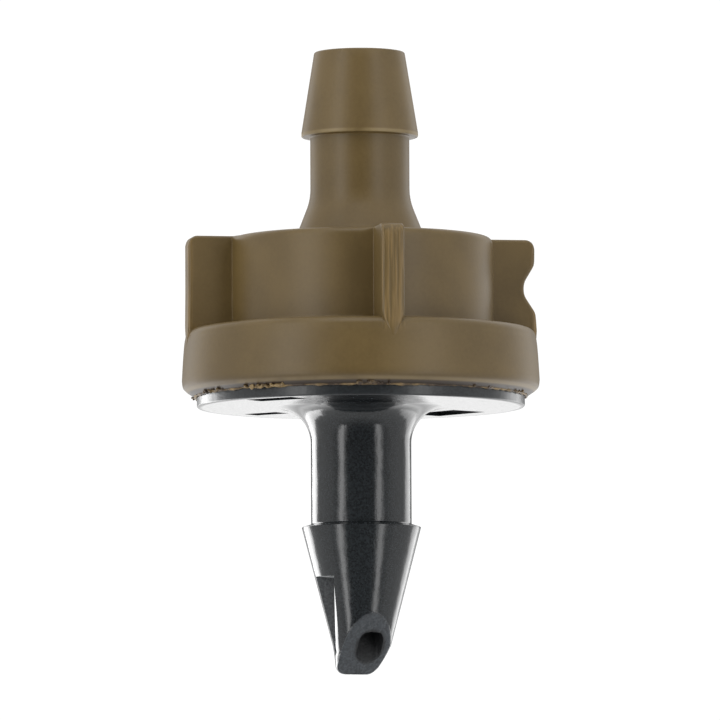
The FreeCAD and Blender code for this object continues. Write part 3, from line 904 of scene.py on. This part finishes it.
def make_port_tool():
    """The rounded-square passage that slants from the bore's floor out through the oblique cut."""
    mouth, inwards = port_axis()
    across = cut_directions()[1]
    upright = inwards.cross(across)
    climb = (INLET_BORE_FLOOR_Z + PORT_OVERLAP - mouth.z) / inwards.z
    ends = [mouth + inwards * station for station in (-PORT_OVERRUN, climb)]
    columns = []
    for i in range(PORT_COLUMNS):
        c, s = polar(1.0, 2 * math.pi * i / PORT_COLUMNS)
        swell = abs(c) ** PORT_SQUARENESS + abs(s) ** PORT_SQUARENESS
        rim = (across * c + upright * s) * (PORT_RADIUS * swell ** (-1 / PORT_SQUARENESS))
        columns.append([tuple(ends[0]), *(tuple(end + rim) for end in ends), tuple(ends[1])])
    tool = new_piece("port_tool", *ring_grid(columns, close_rows=False))
    tidy_mesh(tool)
    return tool


def make_mark_tools():
    """Shallow pads sunk in the flange's underside by the mould's pins."""
    for heading, radius, radial, tangential in MARKS:
        size = (radial, tangential, 2 * MARK_DEPTH)
        yield blocks_round_axis("mark_tool", 1, heading, 0.0, radius, 0.0, size, None)


def make_base():
    """Base: turned outline, with its tip cut off obliquely, cored on one side and bored."""
    outline = base_outline()
    columns = []
    for i in range(BASE_COLUMNS):
        heading = 2 * math.pi * i / BASE_COLUMNS
        column = []
        for radius, height in outline:
            if height < CUT_TOP_Z + CUT_REACH_UP:
                column.append(tip_section(radius, height, heading))
            else:
                column.append((*polar(radius, heading), height))
        columns.append(column)
    base = new_piece("base_moulding", *ring_grid(columns, close_rows=False))
    tidy_mesh(base)
    cut_with(base, make_step_tool())
    cut_with(base, make_port_tool())
    for mark_tool in make_mark_tools():
        cut_with(base, mark_tool)
    tidy_mesh(base)
    shade_smooth(base, BASE_SHARP_ANGLE)
    return base


# ---- diaphragm


def make_diaphragm(material):
    """The silicone disc, with rounded rims and a shallow dish worn by the inlet seat."""
    outline = softened(
        (
            (0.0, DISC_LOW.z + 0.02, 0),
            (SEAT_RADIUS + 0.4, DISC_LOW.z + 0.02, 0.2),
            (SEAT_RADIUS + 0.7, DISC_LOW.z, 0.2),
            (DISC_RADIUS, DISC_LOW.z, 0.15),
            (DISC_RADIUS, DISC_HIGH.z, 0.15),
            (0.0, DISC_HIGH.z, 0),
        )
    )
    disc = turned_piece("silicone_disc", outline, False, material, 160)
    shade_smooth(disc)
    return disc


# ---- weld

FLASH_RADIUS = SEAM_RADIUS + 0.02
FLASH_BEAD = 0.075
FLASH_BEAD_POINTS = 10
FLASH_COLUMNS = 420
FLASH_UNEVENNESS = 0.22
FLASH_LUMP = 0.5
# Runs of crumbs: start and sweep in degrees, count, crumb size, seed.
CRUMB_RUNS = (
    (-144.0, 17.0, 13, 0.13, 4),
    (-102.0, 11.0, 8, 0.12, 9),
    (-170.0, 16.0, 9, 0.09, 21),
    (-60.0, 40.0, 9, 0.07, 33),
    (20.0, 150.0, 40, 0.1, 57),
)
CRUMB_OUT = 0.16
CRUMB_UP = 0.02
CRUMB_SCATTER = 0.05
# How the crumbs and the bead melt into one.
MELT_VOXEL = 0.038
MELT_SMOOTHING = 2


def make_weld_flash(material):
    """The ragged bead that the spin weld squeezed out under the lip, as one closed skin."""
    bead = []
    for i in range(FLASH_BEAD_POINTS):
        out, up = polar(FLASH_BEAD, 2 * math.pi * i / FLASH_BEAD_POINTS)
        bead.append((FLASH_RADIUS + out, LIP_Z + up))
    skin = (FLASH_COLUMNS, FLASH_UNEVENNESS, FLASH_LUMP)
    flash = turned_piece("weld_flash", bead, True, material, *skin)
    tree = crumbs_tree(material)
    crumbs = []
    for start, sweep, count, crumb, seed in CRUMB_RUNS:
        sizes = {
            "Count": count,
            "Start": math.radians(start),
            "Sweep": math.radians(sweep),
            "Radius": (FLASH_RADIUS + CRUMB_OUT) * MM,
            "Height": (LIP_Z + CRUMB_UP) * MM,
            "Scatter": CRUMB_SCATTER * MM,
            "Crumb": crumb * MM,
            "Seed": seed,
        }
        crumbs.append(grow(new_piece("crumbs", [], []), tree, sizes))
    join_into(flash, *crumbs)
    remesh = flash.modifiers.new("melt", "REMESH")
    remesh.mode = "VOXEL"
    remesh.voxel_size = MELT_VOXEL * MM
    soften = flash.modifiers.new("soften", "SMOOTH")
    soften.iterations = MELT_SMOOTHING
    bake_modifiers(flash)
    flash.data.shade_smooth()
    return flash


# ---- materials


ACETAL_IOR = 1.48
SILICONE_IOR = 1.41


def hex_colour(code):
    """An sRGB hex colour as linear RGBA."""
    channels = [int(code[i : i + 2], 16) / 255 for i in (1, 3, 5)]
    linear = [c / 12.92 if c <= 0.04045 else ((c + 0.055) / 1.055) ** 2.4 for c in channels]
    return (*linear, 1.0)


def new_material(name):
    """A material with an empty tree, and its Object coordinates."""
    material = bpy.data.materials.new(name)
    material.use_nodes = True
    tree = material.node_tree
    tree.nodes.clear()
    return material, tree, add_node(tree, "ShaderNodeTexCoord").outputs["Object"]


def finish_surface(tree, inputs):
    """Ends a material's tree in a surface with these inputs."""
    surface = add_node(tree, "ShaderNodeBsdfPrincipled", inputs)
    add_node(tree, "ShaderNodeOutputMaterial", {"Surface": surface.outputs["BSDF"]})


def split(tree, vector):
    """The x, y and z of a vector, as output sockets."""
    parts = add_node(tree, "ShaderNodeSeparateXYZ", {"Vector": vector}).outputs
    return parts["X"], parts["Y"], parts["Z"]


def noise_node(tree, place, size, detail):
    """Noise with features of a size in millimetres, as an output socket."""
    inputs = {"Vector": place, "Scale": 1 / (size * MM), "Detail": detail}
    return add_node(tree, "ShaderNodeTexNoise", inputs).outputs["Fac"]


def stretched_noise(tree, place, across, along):
    """Noise drawn out along Z, like the lines that a tool leaves as the part slides out."""
    scale = {"Vector": place, "Scale": (1.0, 1.0, across / along)}
    drawn = add_node(tree, "ShaderNodeMapping", scale).outputs["Vector"]
    return noise_node(tree, drawn, across, 3.0)


def smooth_step(tree, value, low, high):
    """A mask that rises from 0 to 1 between two values."""
    inputs = {"Value": value, "From Min": low, "From Max": high}
    mask = add_node(tree, "ShaderNodeMapRange", inputs, interpolation_type="SMOOTHSTEP")
    return mask.outputs["Result"]


def step_mm(tree, length, low, high):
    """A mask that rises from 0 to 1 between two lengths in millimetres."""
    return smooth_step(tree, length, low * MM, high * MM)


def spread(tree, share, low, high):
    """A share from 0 to 1 laid out from low to high."""
    inputs = {"Value": share, "To Min": low, "To Max": high}
    return add_node(tree, "ShaderNodeMapRange", inputs).outputs["Result"]


def mix_colours(tree, share, first, second, blend="MIX"):
    """Two colours, each a socket, a hex code or linear RGBA, mixed by a share."""
    colours = [hex_colour(value) if isinstance(value, str) else value for value in (first, second)]
    inputs = {0: share, 6: colours[0], 7: colours[1]}
    return add_node(tree, "ShaderNodeMix", inputs, data_type="RGBA", blend_type=blend).outputs[2]


def ramp_node(tree, value, *stops):
    """A colour ramp through (position, linear RGBA) stops, as an output socket."""
    ramp = add_node(tree, "ShaderNodeValToRGB", {"Fac": value})
    elements = ramp.color_ramp.elements
    while len(elements) < len(stops):
        elements.new(0.5)
    for element, (position, colour) in zip(elements, stops):
        element.position = position
        element.color = colour
    return ramp.outputs["Color"]


def two_tones(tree, value, low, dark, high, light):
    """Two hex colours blended between two values, as an output socket."""
    return ramp_node(tree, value, (low, hex_colour(dark)), (high, hex_colour(light)))


def bump_node(tree, height, strength, depth, normal=None):
    """Fine relief with a depth in millimetres, on top of another normal if there is one."""
    inputs = {"Height": height, "Strength": strength, "Distance": depth * MM}
    if normal is not None:
        inputs["Normal"] = normal
    return add_node(tree, "ShaderNodeBump", inputs).outputs["Normal"]


def rim_band(tree, reach, height, radius, middle, half):
    """A mask for the rim of an edge: outside a radius, and near a height, in millimetres."""
    outside = step_mm(tree, reach, radius, radius + 0.05)
    away = math_node(tree, "ABSOLUTE", math_node(tree, "SUBTRACT", height, middle * MM))
    return product(tree, outside, step_mm(tree, away, half, half * 0.3))


def acetal_tan():
    """Moulded acetal, tan: satin from the tool's fine spark finish, faintly cloudy with flow marks.

    The wings' outer edges dragged in the tool, so they are lighter and have fine upright lines.
    """
    material, tree, place = new_material("acetal_tan_satin")
    cloud = noise_node(tree, place, 2.6, 3.0)
    grain = noise_node(tree, place, 0.16, 2.0)
    drag = stretched_noise(tree, place, 0.1, 2.6)
    x, y, z = split(tree, place)
    reach = vector_node(tree, "LENGTH", combined(tree, x, y))
    outer = step_mm(tree, reach, WING_RADIUS - 0.3, WING_RADIUS - 0.05)
    above = step_mm(tree, z, SHOULDER_Z - 0.9, SHOULDER_Z - 0.1)
    x_away, y_away = (math_node(tree, "ABSOLUTE", across) for across in (x, y))
    from_wing_middle = math_node(tree, "MINIMUM", x_away, y_away)
    along_wing = step_mm(tree, from_wing_middle, WING_HALF + 0.05, WING_HALF - 0.02)
    on_edge = product(tree, outer, above, along_wing)

    mixed = math_node(tree, "MULTIPLY_ADD", grain, 0.25, product(tree, cloud, 0.75))
    plain = two_tones(tree, mixed, 0.38, "#5d4b27", 0.62, "#67542e")
    worn = mix_colours(tree, smooth_step(tree, drag, 0.38, 0.66), "#5f4d2a", "#7a633a")
    colour = mix_colours(tree, on_edge, plain, worn)

    # Painted highlight: the skirt's lip and the outlet barb's rim are lightened in colour, in patches, for
    # the thin light line that these edges catch.
    lip_painted_highlight = rim_band(tree, reach, z, SKIRT_RADIUS - 0.3, LIP_Z + 0.2, 0.16)
    barb_painted_highlight = rim_band(tree, reach, z, OUTLET_BARB_RADIUS - 0.1, OUTLET_BARB_Z + 0.08, 0.14)
    patchy = smooth_step(tree, cloud, 0.3, 0.6)
    painted_rim_highlight = product(tree, math_node(tree, "MAXIMUM", lip_painted_highlight, barb_painted_highlight), patchy)
    colour = mix_colours(tree, painted_rim_highlight, colour, "#83714c")

    # Painted shade: the skirt's foot is darkened in colour, against the light that it gets from below.
    foot = step_mm(tree, z, LIP_Z + 0.7, LIP_Z + 0.25)
    colour = mix_colours(tree, product(tree, foot, 0.38), colour, "#463824")
    # Painted shade, and partly weld scorch: the face under the lip is painted dark brown for the shadow in
    # the gap and the weld's heat darkening.
    under_lip_shade_and_scorch = step_mm(tree, z, LIP_Z + 0.19, LIP_Z + 0.11)
    colour = mix_colours(tree, under_lip_shade_and_scorch, colour, "#32261a")

    drag_depth = product(tree, drag, math_node(tree, "ADD", on_edge, 0.06))
    fine = bump_node(tree, grain, 0.2, 0.01)
    surface = {
        "Base Color": colour,
        "Roughness": spread(tree, cloud, 0.4, 0.48),
        "Normal": bump_node(tree, drag_depth, 0.4, 0.04, fine),
        "IOR": ACETAL_IOR,
    }
    finish_surface(tree, surface)
    return material


def acetal_charcoal():
    """Moulded acetal, charcoal: polished by hand along its length, so its gloss is faintly drawn out.

    The oblique cut is torn and matt, and the cored side shows the rougher steel of its insert; its ledge
    that faces down is painted pale grey, a painted reflection.
    """
    material, tree, place = new_material("acetal_charcoal_gloss")
    x, y, z = split(tree, place)
    reach = vector_node(tree, "LENGTH", combined(tree, x, y))

    cut_normal = Vector((*polar(CUT_SLOPE, CUT_HEADING), -1.0)).normalized()
    depth = Vector((*polar(cone_radius(CUT_TOP_Z), CUT_HEADING), CUT_TOP_Z)).dot(cut_normal)
    out_of_cut = vector_node(tree, "DOT_PRODUCT", place, tuple(cut_normal))
    cut_mask = step_mm(tree, out_of_cut, depth - 0.09, depth - 0.03)

    # The cored side: its floor, and the ledge that faces down, painted pale as a painted reflection of the
    # bright surroundings below.
    on_floor = math_node(tree, "COMPARE", y, STEP_FLOOR_Y * MM, 0.02 * MM)
    beside = step_mm(tree, x, STEP_WALL_X + 0.03, STEP_WALL_X - 0.03)
    below = step_mm(tree, z, STEP_Z + 0.1, STEP_Z)
    step_mask = product(tree, on_floor, beside, below)
    normal_z = split(tree, add_node(tree, "ShaderNodeNewGeometry").outputs["Normal"])[2]
    above_tip = step_mm(tree, z, STEP_Z - 0.4, STEP_Z - 0.3)
    below_barb = step_mm(tree, z, STEP_Z + 0.5, STEP_Z + 0.4)
    faces_down = smooth_step(tree, normal_z, -0.8, -0.95)
    ledge_painted_pale_mask = product(tree, beside, above_tip, below_barb, faces_down)

    mouth, inwards = port_axis()
    from_mouth = vector_node(tree, "SUBTRACT", place, tuple(mouth * MM))
    off_axis = vector_node(tree, "CROSS_PRODUCT", from_mouth, tuple(inwards))
    from_port = vector_node(tree, "LENGTH", off_axis)
    port_painted_shade_mask = step_mm(tree, from_port, PORT_RADIUS + 0.2, PORT_RADIUS + 0.04)

    matt = cut_mask
    for mask in (step_mask, port_painted_shade_mask, ledge_painted_pale_mask):
        matt = math_node(tree, "MAXIMUM", matt, mask)
    ripple = noise_node(tree, place, 1.3, 2.0)
    drawn = stretched_noise(tree, place, 0.16, 0.9)
    grain = noise_node(tree, place, 0.11, 4.0)

    tint = mix_colours(tree, cut_mask, "#1d2022", "#34383c")
    tint = mix_colours(tree, step_mask, tint, "#5c5e60")
    # Painted reflection: the downward ledge is painted pale grey.
    tint = mix_colours(tree, ledge_painted_pale_mask, tint, "#8d8f90")
    # Painted shade: the port's inside is painted near black for the shade in the hole.
    tint = mix_colours(tree, port_painted_shade_mask, tint, "#111315")
    speckle = smooth_step(tree, grain, 0.3, 0.7)
    shade = mix_colours(tree, speckle, (0.62, 0.62, 0.62, 1.0), (1.3, 1.3, 1.3, 1.0))

    on_rim = step_mm(tree, reach, FLANGE_RADIUS - 0.3, FLANGE_RADIUS - 0.05)
    polish = math_node(tree, "MULTIPLY_ADD", drawn, 0.1, 0.09)
    polish = math_node(tree, "MULTIPLY_ADD", on_rim, 0.16, polish)
    wave = bump_node(tree, ripple, 0.5, 0.05)
    scuff = bump_node(tree, drawn, 0.35, 0.008, wave)
    tears = product(tree, grain, math_node(tree, "ADD", matt, 0.05))
    surface = {
        "Base Color": mix_colours(tree, 1.0, tint, shade, "MULTIPLY"),
        "Roughness": spread(tree, matt, polish, 0.62),
        "Normal": bump_node(tree, tears, 0.7, 0.05, scuff),
        "IOR": ACETAL_IOR,
    }
    finish_surface(tree, surface)
    return material


def weld_brown():
    """Acetal melted by the weld: darker, browner and rougher than the tan cap."""
    material, tree, place = new_material("acetal_weld_flash")
    colour = two_tones(tree, noise_node(tree, place, 0.7, 3.0), 0.4, "#3d2f22", 0.66, "#8f7850")
    finish_surface(tree, {"Base Color": colour, "Roughness": 0.5, "IOR": ACETAL_IOR})
    return material


def silicone_milky():
    """Moulded silicone: milky, soft and slightly tacky, so its gloss is broad."""
    material, tree, place = new_material("silicone_milky")
    surface = {
        "Base Color": two_tones(tree, noise_node(tree, place, 1.8, 2.0), 0.0, "#b7b3a6", 1.0, "#c9c6bb"),
        "Roughness": 0.45,
        "IOR": SILICONE_IOR,
        "Subsurface Weight": 0.3,
        "Subsurface Radius": (0.6 * MM, 0.5 * MM, 0.4 * MM),
    }
    finish_surface(tree, surface)
    return material


def studio_white():
    """Matt white board under the object."""
    material, tree, _ = new_material("studio_board")
    finish_surface(tree, {"Base Color": hex_colour("#e9e9e7"), "Roughness": 0.8})
    return material


# ---- studio


def direction(azimuth, elevation):
    """The unit way out from the object, with azimuth 0 towards -Y and growing anticlockwise."""
    flat = math.cos(elevation)
    return Vector((math.sin(azimuth) * flat, -math.cos(azimuth) * flat, math.sin(elevation)))


def aimed(target, towards, distance):
    """A matrix that stands a camera or light off a target, in metres, and turns it to face it."""
    rotation = towards.to_track_quat("Z", "Y").to_matrix().to_4x4()
    return Matrix.Translation(target + towards * distance) @ rotation


# Soft lights either side: name, bearing from the camera in degrees, power shared by two strips.
SIDE_LIGHTS = (("left", -45, 1.55), ("right", 42, 1.25))
# Each side's strips: name, distance and width in metres.
SIDE_STRIPS = (("_core", 0.5, 0.09), ("_edge", 0.52, 0.19))
SIDE_HEIGHT = 0.9
TOP_ELEVATION = 62
TOP_POWER = 0.5
# Strips behind, for the glossy base only: name, bearing, power.
RIM_LIGHTS = (("left_rim", -136.5, 5.2), ("right_rim", 136.5, 1.6))
LIGHT_AIM_Z = 0.002
BACKDROP_LEVEL = 1.05
BOARD_HALF = 20000.0
BOARD_Z = -600.0

# Brightness of the tent from its front opening (-1) to its back (1), as (place, level).
WALL_LEVELS = (
    (-1.0, 0.11),
    (-0.8, 0.14),
    (-0.55, 0.5),
    (-0.3, 0.95),
    (0.1, 0.95),
    (0.4, 0.7),
    (0.62, 1.5),
    (0.84, 1.7),
    (0.9, 0.3),
    (1.0, 0.2),
)
TABLE_LEVELS = ((-1.0, 0.0), (0.1, 0.0), (0.6, 0.4), (0.86, 1.0), (1.0, 1.35))


def level_ramp(tree, value, levels):
    """Turns a value from -1 to 1 into a brightness, through evenly blended levels."""
    top = max(level for _, level in levels)
    limits = {"Value": value, "From Min": -1.0, "From Max": 1.0}
    share = add_node(tree, "ShaderNodeMapRange", limits).outputs["Result"]
    stops = [((place + 1) / 2, (*[level / top] * 3, 1.0)) for place, level in levels]
    return product(tree, ramp_node(tree, share, *stops), top)


def make_camera():
    """A long lens, nearly level."""
    data = bpy.data.cameras.new("camera")
    data.sensor_width = SENSOR
    data.lens = SENSOR * VIEW_DISTANCE / VIEW_WIDTH
    data.clip_start = 0.01
    data.clip_end = 10.0
    camera = bpy.data.objects.new("camera", data)
    bpy.context.scene.collection.objects.link(camera)
    target = Vector((*polar(VIEW_TARGET[0], VIEW_AZIMUTH), VIEW_TARGET[1]))
    place = aimed(target, direction(VIEW_AZIMUTH, VIEW_ELEVATION), VIEW_DISTANCE)
    camera.matrix_world = place @ Matrix.Rotation(VIEW_ROLL, 4, "Z")
    bpy.context.scene.camera = camera


def add_strip(name, bearing, distance, width, height, power, elevation=0.0):
    """A soft light aimed at the object, its bearing from the camera and elevation in degrees."""
    data = bpy.data.lights.new(name, "AREA")
    data.shape = "RECTANGLE"
    data.size = width
    data.size_y = height
    data.energy = power
    light = bpy.data.objects.new(name, data)
    bpy.context.scene.collection.objects.link(light)
    towards = direction(VIEW_AZIMUTH + math.radians(bearing), math.radians(elevation))
    light.matrix_world = aimed(Vector((0, 0, LIGHT_AIM_Z)), towards, distance)
    return light


def make_world():
    """Surroundings of a white tabletop tent: dark at the opening in front, bright behind and low down."""
    world = bpy.data.worlds.new("tent")
    bpy.context.scene.world = world
    world.use_nodes = True
    tree = world.node_tree
    tree.nodes.clear()
    place = add_node(tree, "ShaderNodeTexCoord").outputs["Generated"]
    turn = {"Vector": place, "Rotation": (0, 0, -VIEW_AZIMUTH)}
    turned = add_node(tree, "ShaderNodeMapping", turn, vector_type="POINT").outputs["Vector"]
    _, back, up = split(tree, turned)
    limits = {"Value": up, "From Min": 0.02, "From Max": -0.06}
    below = add_node(tree, "ShaderNodeMapRange", limits).outputs["Result"]
    table, walls = (level_ramp(tree, back, levels) for levels in (TABLE_LEVELS, WALL_LEVELS))
    level = math_node(tree, "MULTIPLY_ADD", below, table, walls)
    white = (1, 1, 1, 1)
    lit = add_node(tree, "ShaderNodeBackground", {"Color": white, "Strength": level})
    seen = add_node(tree, "ShaderNodeBackground", {"Color": white, "Strength": BACKDROP_LEVEL})
    rays = add_node(tree, "ShaderNodeLightPath").outputs["Is Camera Ray"]
    mix = add_node(tree, "ShaderNodeMixShader", {0: rays, 1: lit.outputs[0], 2: seen.outputs[0]})
    add_node(tree, "ShaderNodeOutputWorld", {"Surface": mix.outputs[0]})


def make_floor():
    """A wide pale board below the hanging emitter."""
    size, z = BOARD_HALF, BOARD_Z
    corners = [(-size, -size, z), (size, -size, z), (size, size, z), (-size, size, z)]
    floor = new_piece("board", corners, [(0, 1, 2, 3)])
    floor.data.materials.append(studio_white())
    floor.visible_glossy = False
    floor.visible_diffuse = False


def add_rims(piece):
    """Flagged strips behind, which reach only the glossy base and draw its edges."""
    reached = bpy.data.collections.new("rim_lit")
    reached.objects.link(piece)
    for name, bearing, power in RIM_LIGHTS:
        strip = add_strip(name, bearing, 0.5, 0.25, 1.2, power)
        strip.light_linking.receiver_collection = reached


def make_studio():
    """Camera, surroundings, board and lights."""
    make_camera()
    make_world()
    make_floor()
    for side, bearing, power in SIDE_LIGHTS:
        for part, distance, width in SIDE_STRIPS:
            add_strip(side + part, bearing, distance, width, SIDE_HEIGHT, power / 2)
    add_strip("top_panel", 0.0, 0.5, 0.3, 0.3, TOP_POWER, elevation=TOP_ELEVATION)
    bpy.context.scene.view_settings.view_transform = "Standard"


# ---- assembly


def finish_piece(piece, material, body, node):
    """Gives a piece its material and body, and hides the CAD node that it stands for."""
    piece.data.materials.clear()
    piece.data.materials.append(material)
    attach(piece, body)
    if node:
        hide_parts(node)


def main():
    """Builds the studio and the four pieces."""
    make_studio()
    tan = acetal_tan()
    charcoal = acetal_charcoal()
    flash = weld_brown()
    finish_piece(make_cap(tan), tan, "housing", "outlet_cap")
    base = make_base()
    finish_piece(base, charcoal, "housing", "inlet_base")
    add_rims(base)
    finish_piece(make_weld_flash(flash), flash, "housing", None)
    silicone = silicone_milky()
    finish_piece(make_diaphragm(silicone), silicone, "diaphragm", "diaphragm")


main()
